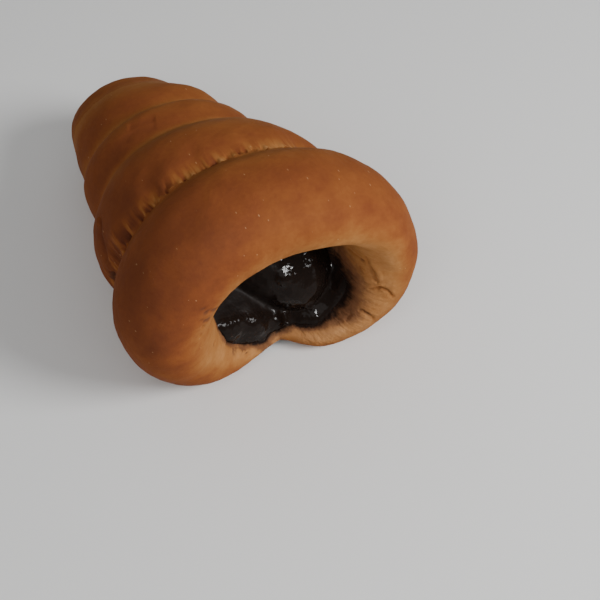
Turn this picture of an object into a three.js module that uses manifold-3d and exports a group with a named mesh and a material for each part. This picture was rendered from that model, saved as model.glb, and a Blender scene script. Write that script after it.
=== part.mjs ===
import * as THREE from "three";
import { mergeVertices } from "three/addons/utils/BufferGeometryUtils.js";
import Module from "manifold-3d";

const wasm = await Module();
wasm.setup();

// A cornet: one tapering roll of dough wound five turns round a cone mould, baked
// lying down, and filled with chocolate cream. Millimetres, +Z up, mouth toward -Y.
// "along" runs from the tip toward the mouth; turns are counted from the tip, each
// starts at the underside and passes the -X side, the top and the +X side.
const rollTurns = 5;
const stepsPerTurn = 36;
const rollSides = 20;
// The roll thickens as it is wound. Its last turn, the ring round the mouth, is the least
// even, so it has a row for each quarter.
const roll = [
  { turn: 0, along: -5, radius: 16.5, halfWidth: 8, halfThick: 7.5 },
  { turn: 1, along: 11, radius: 21.5, halfWidth: 10.5, halfThick: 6.5 },
  { turn: 1.5, along: 21, radius: 23.5, halfWidth: 13, halfThick: 7 },
  { turn: 2, along: 30, radius: 25, halfWidth: 13, halfThick: 8 },
  { turn: 2.5, along: 42, radius: 27.5, halfWidth: 15, halfThick: 9 },
  { turn: 3, along: 51, radius: 30.5, halfWidth: 16.5, halfThick: 9.5 },
  { turn: 3.25, along: 60, radius: 33, halfWidth: 16.5, halfThick: 9.5 },
  { turn: 3.5, along: 65.5, radius: 35, halfWidth: 19, halfThick: 10.5 },
  { turn: 4, along: 77, radius: 37.5, halfWidth: 18.5, halfThick: 10.5 },
  { turn: 4.25, along: 86.5, radius: 38.5, halfWidth: 15.5, halfThick: 12 },
  { turn: 4.5, along: 87.5, radius: 38, halfWidth: 16.5, halfThick: 11.5 },
  { turn: 4.75, along: 94.5, radius: 43, halfWidth: 16.5, halfThick: 9 },
  { turn: 5, along: 89, radius: 37, halfWidth: 12, halfThick: 9 },
];
const wideFactor = 1.07; // the cornet sagged a little wider than high
// Line the roll is wound about: it climbs so that the underside lies flat, bows up a
// little, and leans toward +X at the second turn.
const axisLength = 95;
const axisAtTip = 17.5;
const axisAtMouth = 33;
const axisBow = 0.5;
const axisLean = { side: 1.5, along: 24, spread: 14 };
const floorSoftness = 2.4; // rounding where the dough meets the baking sheet
const floorSink = 0.6; // cut off below this, so that the patches are flat
const notchDepth = 8; // raised middle of the mouth's lower rim
const notchTurns = 0.07; // its spread, in turns
const notchBack = 3.5; // how far the rim steps back there
const sagLeft = 3.5; // the mouth roll slumps at both sides of the notch, more at -X
const sagRight = 2;
const sagAngle = 35; // degrees from the underside
const sagSpread = 20;
const ringFrom = 3.5; // the notch and the slump fade in from this turn
const ringFade = 0.4;
const notchThin = 0.5; // how much thinner the roll is at the notch
const endTaper = 0.06; // turns over which the roll's outer end rounds off
const endWidth = 0.3; // its width at the very end, as a share
const startTaper = 0.3; // turns over which its inner end swells
const startWidth = 0.5;
const startThick = 0.45;
const flatness = 0.8; // below 1 the tip's turns are flattened toward a rounded square
const flatUntil = 2.7;

// Hollow left by the mould.
const mouthAlong = 97;
const mouth = { side: 5, height: 27.5, halfWide: 20.5, halfHigh: 19.5 };
const hollowAlong = 21; // where the hollow ends, toward the tip
const hollowTip = { side: 1.5, height: 17, halfWide: 4, halfHigh: 4 };
const mouthFlare = 3; // widening of the hollow at the mouth, most at +X
const flareFrom = 90;
const flareLean = 0.4; // share of the widening that goes to +X alone
const flareHigh = 0.8; // widening upward for each one sideways
const hollowTaper = 0.9; // below 1 the hollow widens sooner than a straight cone
const hollowSides = 48;
const hollowRings = 10;

// Inner layer of dough that joins the turns: a cone with a rounded nose.
const doughFrom = -10.5;
const doughTo = 84;
const doughAtTip = 18.5; // radius of the cone where along is 0
const doughGrowth = 0.155; // for each millimetre toward the mouth
const noseFrom = 10; // the nose rounds off from here
const noseLength = 21;
const nosePower = 2.4; // above 2, so blunter than a ball
const doughRings = 16;
const doughSides = 40;

// Chocolate cream: it fills the hollow, and its front is piped in lobes.
const creamGap = 0.3;
const creamStart = 25;
const creamFrontAlong = 82; // floor of the dip between the lobes
const creamRings = 7;
const creamFrontRings = 12;
const creamSpread = 6; // how far the blank reaches into the bread
const creamSpreadFrom = 68;
// Ledge of cream along the lower rim.
const ledge = [
  { side: -20, top: 27, rise: 8 },
  { side: -12, top: 23.5, rise: 11.5 },
  { side: -4, top: 21, rise: 12.5 },
  { side: 1, top: 17.5, rise: 12 },
  { side: 6, top: 13, rise: 13 },
  { side: 14, top: 14, rise: 17.5 },
  { side: 25, top: 24, rise: 17 },
];
const ledgeEdge = 0.9; // rounding of its edge
const lobes = [
  { side: 14.5, height: 19.5, wide: 9.5, high: 12.5, tilt: 0, rise: 14.5 },
  { side: 8, height: 27, wide: 4.5, high: 4.5, tilt: -30, rise: 10.5 },
  { side: 12.5, height: 15.5, wide: 3, high: 2, tilt: 25, rise: 15.5 },
  { side: 5, height: 11.5, wide: 3, high: 2.5, tilt: 0, rise: 14.5 },
];
const lobeEdge = 1.2; // above 1 gives a lobe a flatter crown and a steeper edge
const lobeBlend = 1.1; // how sharply one lobe gives way to the next

const crustColour = 0x9a6232;
const creamColour = 0x2a1c16;

// Monotone cubic through the rows of a table.
function smooth(rows, xKey, yKey) {
  const x = rows.map((r) => r[xKey]);
  const y = rows.map((r) => r[yKey]);
  const n = x.length;
  const h = [];
  const d = [];
  for (let i = 0; i < n - 1; i++) {
    h.push(x[i + 1] - x[i]);
    d.push((y[i + 1] - y[i]) / h[i]);
  }
  const m = new Array(n).fill(0);
  for (let i = 1; i < n - 1; i++) {
    if (d[i - 1] * d[i] > 0) {
      const a = 2 * h[i] + h[i - 1];
      const b = h[i] + 2 * h[i - 1];
      m[i] = (a + b) / (a / d[i - 1] + b / d[i]);
    }
  }
  m[0] = endSlope(h[0], h[1], d[0], d[1]);
  m[n - 1] = endSlope(h[n - 2], h[n - 3], d[n - 2], d[n - 3]);
  return (at) => {
    if (at <= x[0]) return y[0] + m[0] * (at - x[0]);
    if (at >= x[n - 1]) return y[n - 1] + m[n - 1] * (at - x[n - 1]);
    let i = 0;
    while (at > x[i + 1]) i++;
    const t = (at - x[i]) / h[i];
    const t2 = t * t;
    const t3 = t2 * t;
    return (
      (2 * t3 - 3 * t2 + 1) * y[i] +
      (t3 - 2 * t2 + t) * h[i] * m[i] +
      (3 * t2 - 2 * t3) * y[i + 1] +
      (t3 - t2) * h[i] * m[i + 1]
    );
  };
}

function endSlope(h0, h1, d0, d1) {
  const s = ((2 * h0 + h1) * d0 - h0 * d1) / (h0 + h1);
  if (s * d0 <= 0) return 0;
  return d0 * d1 <= 0 && Math.abs(s) > 3 * Math.abs(d0) ? 3 * d0 : s;
}

const clamp = (v, low, high) => Math.min(high, Math.max(low, v));
const mix = (a, b, t) => a + (b - a) * t;

const along = smooth(roll, "turn", "along");
const radius = smooth(roll, "turn", "radius");
const halfWidth = smooth(roll, "turn", "halfWidth");
const halfThick = smooth(roll, "turn", "halfThick");
const ledgeTop = smooth(ledge, "side", "top");
const ledgeRise = smooth(ledge, "side", "rise");

function axisHeight(s) {
  const t = s / axisLength;
  return mix(axisAtTip, axisAtMouth, t) + axisBow * Math.sin(Math.PI * clamp(t, 0, 1));
}

function axisSide(s) {
  return axisLean.side * Math.exp(-(((s - axisLean.along) / axisLean.spread) ** 2));
}

function doughRadius(s) {
  const nose = Math.max(0, (noseFrom - s) / noseLength);
  return (doughAtTip + doughGrowth * s) * (1 - nose ** nosePower) ** (1 / nosePower);
}

// Height after the dough settled on the sheet.
function settle(z) {
  return 0.5 * (z + Math.hypot(z, floorSoftness)) - floorSink;
}

// Point at polar place (r, angle) round the axis; angle 0 is the underside.
function place(s, r, angle, axisAt = s) {
  return [
    axisSide(axisAt) - r * Math.sin(angle) * wideFactor,
    -s,
    settle(axisHeight(axisAt) - r * Math.cos(angle)),
  ];
}

// Closed solid from rings of points, capped at both ends.
function loft(rings) {
  const sides = rings[0].length;
  const points = rings.flat(2);
  const faces = [];
  const at = (i, j) => i * sides + (j % sides);
  for (let i = 0; i < rings.length - 1; i++) {
    for (let j = 0; j < sides; j++) {
      faces.push(at(i, j), at(i + 1, j), at(i + 1, j + 1));
      faces.push(at(i, j), at(i + 1, j + 1), at(i, j + 1));
    }
  }
  for (const [row, flip] of [[0, true], [rings.length - 1, false]]) {
    const centre = [0, 1, 2].map(
      (k) => rings[row].reduce((sum, p) => sum + p[k], 0) / sides,
    );
    points.push(...centre);
    const c = points.length / 3 - 1;
    for (let j = 0; j < sides; j++) {
      const pair = [at(row, j), at(row, j + 1)];
      if (flip) pair.reverse();
      faces.push(pair[0], c, pair[1]);
    }
  }
  return solid(points, faces);
}

function solid(points, faces) {
  const body = new wasm.Manifold(
    new wasm.Mesh({
      numProp: 3,
      vertProperties: new Float32Array(points),
      triVerts: new Uint32Array(faces),
    }),
  );
  if (body.volume() > 0) return body;
  const turned = [];
  for (let i = 0; i < faces.length; i += 3) {
    turned.push(faces[i], faces[i + 2], faces[i + 1]);
  }
  return solid(points, turned);
}

function flattened(wave, power) {
  return Math.sign(wave) * Math.abs(wave) ** power;
}

// One cross-section of the roll.
function rollSection(turn, grow) {
  const aside = ((turn + 0.5) % 1) - 0.5;
  const fromUnder = Math.abs(aside);
  const atMouth = clamp((turn - ringFrom) / ringFade, 0, 1);
  const notch = Math.exp(-((fromUnder / notchTurns) ** 2)) * atMouth;
  const sag = Math.exp(-(((fromUnder * 360 - sagAngle) / sagSpread) ** 2)) * atMouth;
  const outerEnd = Math.sqrt(clamp((rollTurns - turn) / endTaper, 0, 1));
  const innerEnd = Math.sqrt(clamp(turn / startTaper, 0, 1));
  const thin = (1 - notchThin * notch) * mix(startThick, 1, innerEnd);
  const thick = halfThick(turn) * thin + grow;
  const narrow = mix(endWidth, 1, outerEnd) * mix(startWidth, 1, innerEnd);
  const wide = halfWidth(turn) * narrow + grow;
  const middle = radius(turn) - notchDepth * notch - thick + grow;
  const stepBack = turn > rollTurns - 0.5 ? notchBack * notch : 0; // only at the very mouth
  const centre = along(turn) - stepBack;
  const sagDepth = aside > 0 ? sagLeft : sagRight;
  const power = mix(flatness, 1, clamp(turn - flatUntil, 0, 1));
  const points = [];
  for (let k = 0; k < rollSides; k++) {
    const u = (2 * Math.PI * k) / rollSides;
    const out = flattened(Math.sin(u), power);
    const across = flattened(Math.cos(u), power);
    const r = middle + thick * out + sagDepth * sag * Math.max(out, 0) ** 1.5;
    points.push(place(centre + wide * across, r, 2 * Math.PI * turn, centre));
  }
  return points;
}

// The roll in lengths shorter than a turn, so that none meets itself.
function rollLengths(grow) {
  const lengths = [];
  const steps = rollTurns * stepsPerTurn;
  const perLength = stepsPerTurn / 2;
  for (let first = 0; first < steps; first += perLength) {
    const rings = [];
    for (let i = first; i <= Math.min(first + perLength + 1, steps); i++) {
      rings.push(rollSection(i / stepsPerTurn, grow));
    }
    lengths.push(loft(rings));
  }
  return lengths;
}

function doughLayer() {
  const rings = [];
  for (let i = 0; i <= doughRings; i++) {
    const s = mix(doughFrom, doughTo, (i / doughRings) ** 1.25); // closer at the nose
    const ring = [];
    for (let j = 0; j < doughSides; j++) {
      ring.push(place(s, doughRadius(s), (2 * Math.PI * j) / doughSides));
    }
    rings.push(ring);
  }
  return loft(rings);
}

// Section of the mould's hollow at a place along the cornet.
function hollowAt(s) {
  const t = (s - hollowAlong) / (mouthAlong - hollowAlong);
  const inner = clamp(t, 0, 1);
  return {
    side: mix(hollowTip.side, mouth.side, inner),
    height: mix(hollowTip.height, mouth.height, inner),
    halfWide: mix(hollowTip.halfWide, mouth.halfWide, inner ** hollowTaper),
    halfHigh: mix(hollowTip.halfHigh, mouth.halfHigh, inner ** hollowTaper),
    open: mouthFlare * (Math.max(0, s - flareFrom) / 20) ** 1.5,
  };
}

function hollowRing(s, inset, scale = 1) {
  const h = hollowAt(s);
  const ring = [];
  for (let j = 0; j < hollowSides; j++) {
    const a = (2 * Math.PI * j) / hollowSides;
    const open = h.open * (1 - flareLean + flareLean * Math.cos(a));
    ring.push([
      h.side + (h.halfWide + open - inset) * scale * Math.cos(a),
      -s,
      h.height + (h.halfHigh + flareHigh * open - inset) * scale * Math.sin(a),
    ]);
  }
  return ring;
}

function hollow(inset) {
  const rings = [hollowRing(hollowAlong - 2 + inset, inset, 0.5)];
  for (let i = 0; i <= hollowRings; i++) {
    rings.push(hollowRing(mix(hollowAlong + inset, mouthAlong, i / hollowRings), inset));
  }
  for (let i = 1; i <= 5; i++) {
    rings.push(hollowRing(mouthAlong + i * 5, inset));
  }
  return loft(rings);
}

// How far forward the cream's front stands at (x, z).
function creamFront(x, z) {
  const onLedge = clamp(x, ledge[0].side, ledge[ledge.length - 1].side);
  const over = (z - ledgeTop(onLedge)) / ledgeEdge;
  let front = ledgeRise(onLedge) / (1 + Math.exp(clamp(over, -30, 30)));
  for (const lobe of lobes) {
    const tilt = (lobe.tilt * Math.PI) / 180;
    const dx = x - lobe.side;
    const dz = z - lobe.height;
    const u = (dx * Math.cos(tilt) + dz * Math.sin(tilt)) / lobe.wide;
    const v = (dz * Math.cos(tilt) - dx * Math.sin(tilt)) / lobe.high;
    const rise = lobe.rise * Math.exp(-0.7 * (u * u + v * v) ** lobeEdge);
    front = Math.log(Math.exp(lobeBlend * front) + Math.exp(lobeBlend * rise) - 1);
    front /= lobeBlend;
  }
  return creamFrontAlong + front;
}

// The cream before it meets the bread: wider than the hollow near the front.
function creamBlank() {
  const ringAt = (s, scale, forward) => {
    const spread = creamSpread * clamp((s - creamSpreadFrom) / 12, 0, 1);
    const ring = hollowRing(s, -spread, scale);
    if (forward) for (const p of ring) p[1] = -creamFront(p[0], p[2]);
    return ring;
  };
  const rings = [ringAt(creamStart - 1.5, 0.5, false)];
  for (let i = 0; i <= creamRings; i++) {
    rings.push(ringAt(mix(creamStart, creamFrontAlong - 2, i / creamRings), 1, false));
  }
  for (let i = 0; i <= creamFrontRings; i++) {
    const scale = Math.cos((0.5 * Math.PI * i) / (creamFrontRings + 0.4));
    rings.push(ringAt(mouthAlong, scale, true));
  }
  return loft(rings);
}

// Everything below the sheet.
function belowFloor() {
  const size = 200;
  const points = [];
  for (const z of [-30, 0]) {
    for (const [x, y] of [[-1, -1], [1, -1], [1, 1], [-1, 1]]) {
      points.push(x * size, y * size, z);
    }
  }
  const faces = [
    0, 2, 1, 0, 3, 2, 4, 5, 6, 4, 6, 7, 0, 1, 5, 0, 5, 4,
    1, 2, 6, 1, 6, 5, 2, 3, 7, 2, 7, 6, 3, 0, 4, 3, 4, 7,
  ];
  return solid(points, faces);
}

// The bread, or the same bread grown all round by a gap.
function makeBread(grow) {
  let body = doughLayer();
  for (const length of rollLengths(grow)) body = body.add(length);
  return body.subtract(hollow(grow)).subtract(belowFloor());
}

const bread = makeBread(0);
const filling = creamBlank().subtract(makeBread(creamGap));

function largest(body) {
  return body.decompose().reduce((a, b) => (b.volume() > a.volume() ? b : a));
}

// Origin: middle of the footprint, on the ground.
const box = bread.boundingBox();
const shift = [
  -(box.min[0] + box.max[0]) / 2,
  -(box.min[1] + box.max[1]) / 2,
  -box.min[2],
];

const group = new THREE.Group();
group.name = "cornet";

function addPiece(body, name, colour, roughness) {
  const mesh = largest(body).getMesh();
  const position = new Float32Array(mesh.numVert * 3);
  for (let i = 0; i < mesh.numVert; i++) {
    for (let k = 0; k < 3; k++) {
      position[3 * i + k] = mesh.vertProperties[mesh.numProp * i + k] + shift[k];
    }
  }
  let geometry = new THREE.BufferGeometry();
  geometry.setAttribute("position", new THREE.BufferAttribute(position, 3));
  geometry.setIndex(new THREE.BufferAttribute(new Uint32Array(mesh.triVerts), 1));
  geometry = mergeVertices(geometry, 1e-4);
  geometry.computeVertexNormals();
  const piece = new THREE.Mesh(
    geometry,
    new THREE.MeshStandardMaterial({ color: colour, roughness, metalness: 0 }),
  );
  piece.name = name;
  group.add(piece);
}

addPiece(bread, "bread", crustColour, 0.5);
addPiece(filling, "filling", creamColour, 0.2);

export default group;
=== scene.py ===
import math
from types import SimpleNamespace

import bmesh
import bpy
import numpy as np
from mathutils import Matrix, Vector


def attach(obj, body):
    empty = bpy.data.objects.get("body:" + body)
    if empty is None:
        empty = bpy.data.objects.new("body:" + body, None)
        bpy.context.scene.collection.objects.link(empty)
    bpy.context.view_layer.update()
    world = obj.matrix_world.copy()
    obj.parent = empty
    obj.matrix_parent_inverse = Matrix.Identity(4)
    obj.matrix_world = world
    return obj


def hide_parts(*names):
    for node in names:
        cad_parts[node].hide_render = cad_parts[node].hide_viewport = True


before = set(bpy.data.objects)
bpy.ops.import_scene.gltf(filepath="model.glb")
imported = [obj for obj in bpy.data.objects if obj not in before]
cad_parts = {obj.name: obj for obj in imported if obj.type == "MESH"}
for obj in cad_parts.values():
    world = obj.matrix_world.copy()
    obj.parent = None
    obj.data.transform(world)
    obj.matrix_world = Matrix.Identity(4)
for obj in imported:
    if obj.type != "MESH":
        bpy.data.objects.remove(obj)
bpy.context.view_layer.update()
mm = 0.001


class Wire:
    # one output of a node; arithmetic on it adds the nodes that work it out
    def __init__(self, graph, socket):
        self.graph = graph
        self.socket = socket

    def math(self, operation, *others, first=None):
        start = self if first is None else first
        values = dict(enumerate((start, *others)))
        return self.graph.add("ShaderNodeMath", {"operation": operation}, values)

    def __add__(self, other):
        return self.math("ADD", other)

    def __sub__(self, other):
        return self.math("SUBTRACT", other)

    def __mul__(self, other):
        return self.math("MULTIPLY", other)

    def __truediv__(self, other):
        return self.math("DIVIDE", other)

    def __pow__(self, other):
        return self.math("POWER", other)

    def __neg__(self):
        return self.math("MULTIPLY", -1.0)

    def __radd__(self, other):
        return self.math("ADD", other)

    def __rmul__(self, other):
        return self.math("MULTIPLY", other)

    def __rsub__(self, other):
        return self.math("SUBTRACT", self, first=other)

    def __rtruediv__(self, other):
        return self.math("DIVIDE", self, first=other)

    def clamp(self, low=0.0, high=1.0):
        return self.math("MAXIMUM", low).math("MINIMUM", high)

    def ramp(self, low, high):
        # 0 below low, 1 above high, eased between
        return self.graph.add(
            "ShaderNodeMapRange",
            {"interpolation_type": "SMOOTHSTEP"},
            {"Value": self, "From Min": low, "From Max": high},
        )


class Graph:
    # a node tree, and the ways to add to it
    def __init__(self, tree):
        self.tree = tree

    def add(self, kind, settings=None, values=None, output=0):
        node = self.tree.nodes.new(kind)
        count = len(self.tree.nodes)
        node.location = (220 * (count % 14), -260 * (count // 14))
        for name, value in (settings or {}).items():
            if name == "stops":
                self.setStops(node.color_ramp, value)
            elif name == "points":
                self.setPoints(node.mapping, value)
            else:
                setattr(node, name, value)
        for key, value in (values or {}).items():
            self.plug(node.inputs[key], value)
        return Wire(self, node.outputs[output])

    def plug(self, socket, value):
        if isinstance(value, Wire):
            self.tree.links.new(value.socket, socket)
        else:
            socket.default_value = value

    def setStops(self, ramp, stops):
        while len(ramp.elements) < len(stops):
            ramp.elements.new(0.5)
        for element, (at, colour) in zip(ramp.elements, stops):
            element.position = at
            element.color = (*colour, 1.0)

    def setPoints(self, mapping, points):
        curve = mapping.curves[0]
        while len(curve.points) < len(points):
            curve.points.new(0.5, 0.5)
        for point, place in zip(curve.points, points):
            point.location = place
        mapping.update()

    def vector(self, operation, *values, output=0):
        inputs = dict(enumerate(values))
        return self.add("ShaderNodeVectorMath", {"operation": operation}, inputs, output)

    def scaled(self, vector, factor):
        inputs = {"Vector": vector, "Scale": factor}
        return self.add("ShaderNodeVectorMath", {"operation": "SCALE"}, inputs)

    def combine(self, x, y, z):
        return self.add("ShaderNodeCombineXYZ", None, {0: x, 1: y, 2: z})

    def outputs(self, wire):
        # all that a wire's node gives
        return [Wire(self, socket) for socket in wire.socket.node.outputs]

    def split(self, vector):
        return self.outputs(self.add("ShaderNodeSeparateXYZ", None, {0: vector}))

    def mixNumber(self, factor, a, b):
        return self.add("ShaderNodeMix", {"data_type": "FLOAT"}, {0: factor, 2: a, 3: b})

    def paint(self, factor, under, colour):
        # a plain colour laid over what is there
        inputs = {0: factor, 6: under, 7: (*colour, 1.0)}
        return self.add("ShaderNodeMix", {"data_type": "RGBA"}, inputs, 2)

    def noise(self, vector, scale, detail=2.0, rough=0.5, output=0):
        inputs = {"Vector": vector, "Scale": scale, "Detail": detail, "Roughness": rough}
        return self.add("ShaderNodeTexNoise", None, inputs, output)

    def sway(self, *values):
        return self.noise(*values) - 0.5

    def layer(self, vector, settings):
        strength, noise = settings
        return self.noise(vector, *noise) * strength


def addObject(name, data):
    added = bpy.data.objects.new(name, data)
    bpy.context.scene.collection.objects.link(added)
    return added


def newPiece(name, points=(), faces=()):
    mesh = bpy.data.meshes.new(name)
    mesh.from_pydata([tuple(point) for point in points], [], faces)
    return addObject(name, mesh)


def smoothShade(piece):
    piece.data.polygons.foreach_set("use_smooth", [True] * len(piece.data.polygons))
    piece.data.update()


def bakeModifiers(piece):
    bpy.context.view_layer.update()
    depsgraph = bpy.context.evaluated_depsgraph_get()
    evaluated = piece.evaluated_get(depsgraph)
    mesh = bpy.data.meshes.new_from_object(
        evaluated, preserve_all_data_layers=True, depsgraph=depsgraph
    )
    old = piece.data
    piece.modifiers.clear()
    piece.data = mesh
    mesh.name = piece.name
    bpy.data.meshes.remove(old)


def labelFor(key):
    # notchDepth is the input "Notch Depth"
    return "".join(" " + letter if letter.isupper() else letter for letter in key).title()


def growTree(piece, name, build, sizes, values):
    # makes a node tree whose named inputs are the values, and bakes its result into the piece;
    # build adds the nodes between, and gives the geometry that they end in
    tree = bpy.data.node_groups.new(name, "GeometryNodeTree")
    tree.is_modifier = True
    for way in ("OUTPUT", "INPUT"):
        tree.interface.new_socket("Geometry", in_out=way, socket_type="NodeSocketGeometry")
    identifiers = {}
    for key, value in values.items():
        kind = "NodeSocket" + type(value).__name__.capitalize()  # Int, Float, Object, Material
        socket = tree.interface.new_socket(labelFor(key), in_out="INPUT", socket_type=kind)
        identifiers[key] = socket.identifier

    graph = Graph(tree)
    entry = tree.nodes.new("NodeGroupInput")
    wires = [Wire(graph, socket) for socket in entry.outputs]
    given = SimpleNamespace(**dict(zip(("geometry", *values), wires)))
    grown = build(graph, given, sizes)
    whole = graph.add("GeometryNodeRealizeInstances", None, {"Geometry": grown})
    dressing = {"Geometry": whole, "Material": given.material}
    dressed = graph.add("GeometryNodeSetMaterial", None, dressing)
    leave = tree.nodes.new("NodeGroupOutput")
    tree.links.new(dressed.socket, leave.inputs[0])

    modifier = piece.modifiers.new(name, "NODES")
    modifier.node_group = tree
    for key, value in values.items():
        modifier[identifiers[key]] = value
    bakeModifiers(piece)


def pick(sizes, keys):
    return {key: sizes[key] for key in keys.split()}


def store(graph, geometry, **numbers):
    settings = {"data_type": "FLOAT", "domain": "POINT"}
    for name, value in numbers.items():
        inputs = {"Geometry": geometry, "Name": name, "Value": value}
        geometry = graph.add("GeometryNodeStoreNamedAttribute", settings, inputs)
    return geometry


def stored(graph, *names):
    kind = "GeometryNodeInputNamedAttribute"
    return [graph.add(kind, {"data_type": "FLOAT"}, {"Name": name}) for name in names]


def position(graph):
    return graph.add("GeometryNodeInputPosition")


def moved(graph, geometry, **values):
    return graph.add("GeometryNodeSetPosition", None, {"Geometry": geometry, **values})


def blurred(graph, value, rounds, kind="FLOAT"):
    inputs = {"Value": value, "Iterations": rounds}
    return graph.add("GeometryNodeBlurAttribute", {"data_type": kind}, inputs)


def bell(distance):
    # 1 at no distance, soft down to nothing past 2
    return (-(distance ** 2.0)).math("EXPONENT")


def shapeOf(graph, piece):
    return graph.add("GeometryNodeObjectInfo", None, {"Object": piece}, "Geometry")


def distanceTo(graph, piece, element):
    inputs = {"Geometry": shapeOf(graph, piece), "Sample Position": position(graph)}
    return graph.add("GeometryNodeProximity", {"target_element": element}, inputs, "Distance")


def directionTo(azimuth, elevation):
    # from a target toward a camera or a lamp, angles in radians
    level = math.cos(elevation)
    return Vector((math.sin(azimuth) * level, -math.cos(azimuth) * level, math.sin(elevation)))


cameraSizes = {
    "target": (0.01003, -0.03982, 0.01151),  # the point that the camera looks at
    "azimuth": -25.88,
    "elevation": 54.96,
    "roll": -7.03,
    "distance": 0.3416,
    "lens": 69.0,
    "sensor": 36.0,
    "clipStart": 0.01,
}


def placeCamera(sizes):
    data = bpy.data.cameras.new("camera")
    data.lens = sizes["lens"]
    data.sensor_width = sizes["sensor"]
    data.clip_start = sizes["clipStart"]
    camera = addObject("camera", data)
    azimuth, elevation, roll = (
        math.radians(sizes[key]) for key in ("azimuth", "elevation", "roll")
    )
    back = directionTo(azimuth, elevation)
    right = Vector((math.cos(azimuth), math.sin(azimuth), 0.0))
    axes = Matrix((right, back.cross(right), back)).transposed()
    matrix = (axes @ Matrix.Rotation(roll, 3, "Z")).to_4x4()
    matrix.translation = Vector(sizes["target"]) + back * sizes["distance"]
    camera.matrix_world = matrix
    bpy.context.scene.camera = camera


placeCamera(cameraSizes)
print("camera set")


# The dough is wound as the frame's bread is: lengths in millimetres, "along" from the tip
# toward the mouth, turns counted from the tip. "out" and "across" say where a point lies on
# the band's section: out is 1 on its crown, across is 1 on the side toward the mouth.
windingSizes = {
    "turns": 5.0,
    "stepsPerTurn": 80,
    "sides": 72,
    "wideFactor": 1.07,
    "notchDepth": 8.0,
    "notchSpread": 0.07,
    "notchBack": 3.5,
    "notchBackFrom": 4.5,  # turn
    "notchThin": 0.5,  # how much thinner the band is there
    "sagLeft": 3.5,
    "sagRight": 2.0,
    "sagAngle": 35.0,
    "sagSpread": 20.0,
    "sagPower": 1.5,  # keeps the slump to the band's crown
    "floorSoftness": 2.4,
    "floorSink": 0.6,
    "endTaper": 0.06,
    "endWide": 0.3,
    "startTaper": 0.3,
    "startWide": 0.5,
    "startThick": 0.45,
    "flatness": 0.8,  # below 1 the tip's turns are flattened toward a rounded square
    "flatUntil": 2.7,
    "ringFrom": 3.5,  # the notch and the slump fade in from this turn
    "ringFade": 0.4,
    "side": -2.41,  # where the axis starts in the frame
    "tip": 50.25,
    # turn, along, radius, half width, half thickness
    "stations": [
        (0.0, -5.0, 16.5, 8.0, 7.5),
        (1.0, 11.0, 21.5, 10.5, 6.5),
        (1.5, 21.0, 23.5, 13.0, 7.0),
        (2.0, 30.0, 25.0, 13.0, 8.0),
        (2.5, 42.0, 27.5, 15.0, 9.0),
        (3.0, 51.0, 30.5, 16.5, 9.5),
        (3.25, 60.0, 33.0, 16.5, 9.5),
        (3.5, 65.5, 35.0, 19.0, 10.5),
        (4.0, 77.0, 37.5, 18.5, 10.5),
        (4.25, 86.5, 38.5, 15.5, 12.0),
        (4.5, 87.5, 38.0, 16.5, 11.5),
        (4.75, 94.5, 43.0, 16.5, 9.0),
        (5.0, 89.0, 37.0, 12.0, 9.0),
    ],
    # the line it is wound about: climbs, bows up a little, leans right at the second turn
    "axisLength": 95.0,
    "axisAtTip": 17.5,
    "axisAtMouth": 33.0,
    "axisBow": 0.5,
    "axisLean": (1.5, 24.0, 14.0),  # how far, along, spread
    # the inner layer: a cone with a rounded nose
    "innerFrom": -10.5,
    "innerTo": 84.0,
    "innerAtTip": 18.5,
    "innerGrowth": 0.155,
    "noseFrom": 10.0,
    "noseLength": 21.0,
    "nosePower": 2.4,
    "innerRings": 60,
}


def smoothTable(rows, column):
    # monotone cubic through a table's first column and another one
    x = [row[0] for row in rows]
    y = [row[column] for row in rows]
    step = [b - a for a, b in zip(x, x[1:])]
    slope = [(b - a) / h for a, b, h in zip(y, y[1:], step)]
    tangent = [0.0] * len(x)
    for i in range(1, len(x) - 1):
        if slope[i - 1] * slope[i] > 0:
            a = 2 * step[i] + step[i - 1]
            b = step[i] + 2 * step[i - 1]
            tangent[i] = (a + b) / (a / slope[i - 1] + b / slope[i])
    tangent[0] = endSlope(step[0], step[1], slope[0], slope[1])
    tangent[-1] = endSlope(step[-1], step[-2], slope[-1], slope[-2])

    def at(value):
        i = max(k for k in range(len(x) - 1) if x[k] <= value)
        t = (value - x[i]) / step[i]
        return (
            (2 * t**3 - 3 * t**2 + 1) * y[i]
            + (t**3 - 2 * t**2 + t) * step[i] * tangent[i]
            + (3 * t**2 - 2 * t**3) * y[i + 1]
            + (t**3 - t**2) * step[i] * tangent[i + 1]
        )

    return at


def endSlope(h0, h1, d0, d1):
    slope = ((2 * h0 + h1) * d0 - h0 * d1) / (h0 + h1)
    if slope * d0 <= 0:
        return 0.0
    return 3 * d0 if d0 * d1 <= 0 and abs(slope) > 3 * abs(d0) else slope


def tableCurve(graph, factor, rows, column, count=41):
    # a Float Curve node that follows a table; factor is in the table's own units
    first, last = rows[0][0], rows[-1][0]
    read = smoothTable(rows, column)
    places = [first + (last - first) * i / (count - 1) for i in range(count)]
    values = [read(place) for place in places]
    low, high = min(values) - 1.0, max(values) + 1.0
    points = [(i / (count - 1), (v - low) / (high - low)) for i, v in enumerate(values)]
    share = ((factor - first) / (last - first)).clamp()
    curve = graph.add("ShaderNodeFloatCurve", {"points": points}, {"Value": share})
    return curve * (high - low) + low


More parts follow.
